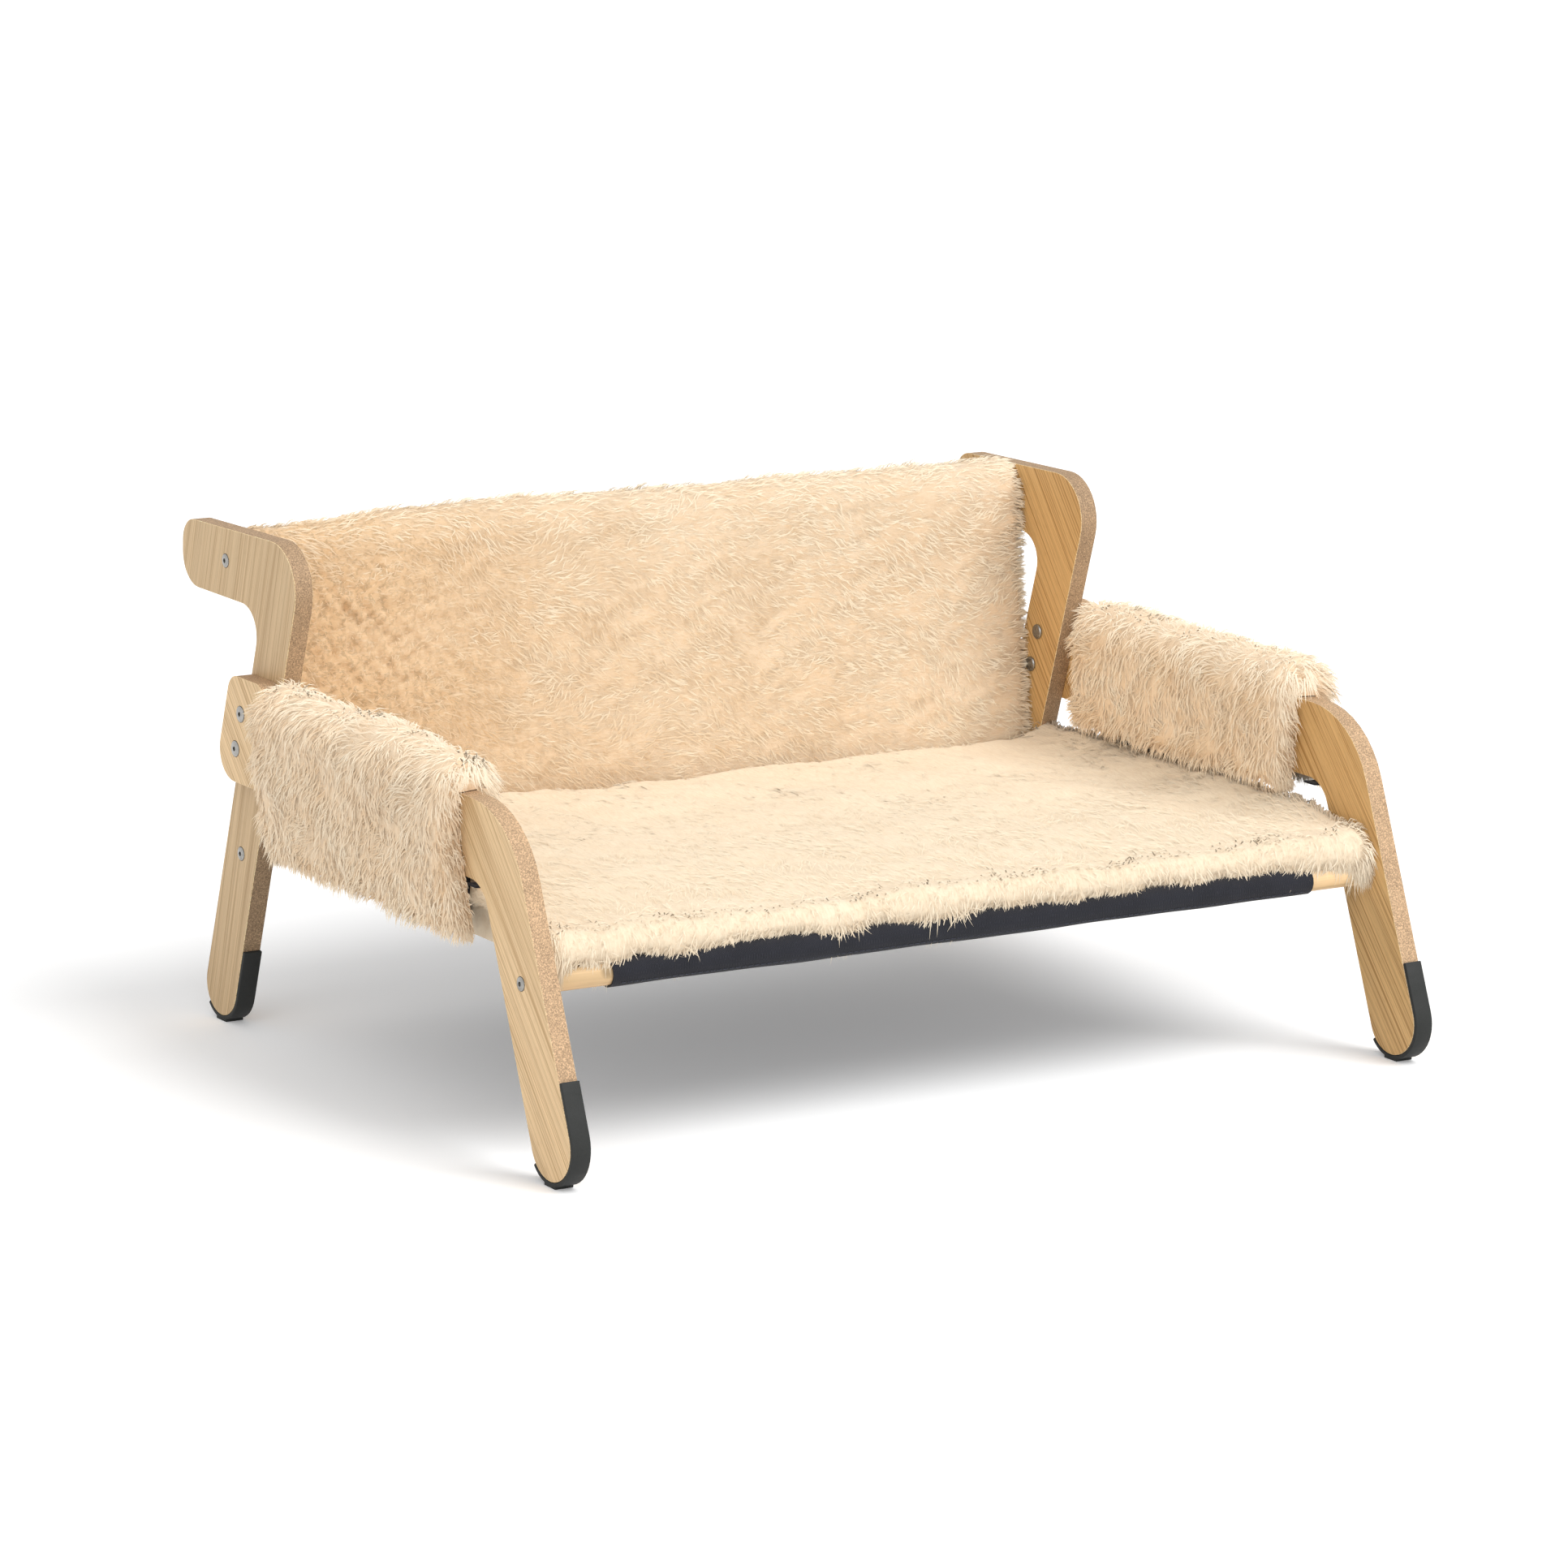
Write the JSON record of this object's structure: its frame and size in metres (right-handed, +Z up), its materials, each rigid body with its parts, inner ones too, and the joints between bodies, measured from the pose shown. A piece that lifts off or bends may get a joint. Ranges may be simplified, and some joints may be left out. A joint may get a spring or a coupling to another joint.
{
  "type": "pet lounger",
  "caption": "Low sofa-shaped pet bed: bent-outline veneered side boards, round rails, canvas sling, cream pile covers on seat, back and arms.",
  "frame": {"origin": "centre of the footprint's bounding box, on the floor", "axes": "+X to the right across the width seen from the front, +Y from the front edge to the backrest, +Z up"},
  "size_m": [0.6412, 0.4808, 0.3055],
  "materials": {
    "oak_veneer_board": "matt oak veneer on fibreboard",
    "pine_dowel": "plain sanded pine",
    "grey_rubber": "matt",
    "nickel_plate": "nickel plated",
    "yellow_zinc": "zinc plated",
    "navy_canvas": "plain weave",
    "cream_pile": "long soft pile"
  },
  "bodies": {
    "root": {"arm_board_left": "oak_veneer_board", "arm_board_right": "oak_veneer_board", "back_board_left": "oak_veneer_board", "back_board_right": "oak_veneer_board", "front_rail": "pine_dowel", "rear_seat_rail": "pine_dowel", "top_rail": "pine_dowel", "front_rail_left_bolt": "nickel_plate", "front_rail_left_insert": "yellow_zinc", "front_rail_right_bolt": "nickel_plate", "front_rail_right_insert": "yellow_zinc", "rear_seat_rail_left_bolt": "nickel_plate", "rear_seat_rail_left_insert": "yellow_zinc", "rear_seat_rail_right_bolt": "nickel_plate", "rear_seat_rail_right_insert": "yellow_zinc", "top_rail_left_bolt": "nickel_plate", "top_rail_left_insert": "yellow_zinc", "top_rail_right_bolt": "nickel_plate", "top_rail_right_insert": "yellow_zinc", "upper_block_left_bolt": "nickel_plate", "upper_block_left_nut": "nickel_plate", "lower_block_left_bolt": "nickel_plate", "lower_block_left_nut": "nickel_plate", "upper_block_right_bolt": "nickel_plate", "upper_block_right_nut": "nickel_plate", "lower_block_right_bolt": "nickel_plate", "lower_block_right_nut": "nickel_plate", "front_foot_pad_left": "grey_rubber", "rear_foot_pad_left": "grey_rubber", "front_foot_pad_right": "grey_rubber", "rear_foot_pad_right": "grey_rubber", "seat_canvas": "navy_canvas", "back_canvas": "navy_canvas", "arm_lining_left": "navy_canvas", "arm_strap_left": "navy_canvas", "arm_lining_right": "navy_canvas", "arm_strap_right": "navy_canvas", "seat_pile": "cream_pile", "back_pile": "cream_pile", "arm_pile_left": "cream_pile", "arm_pile_right": "cream_pile"}
  },
  "joints": []
}
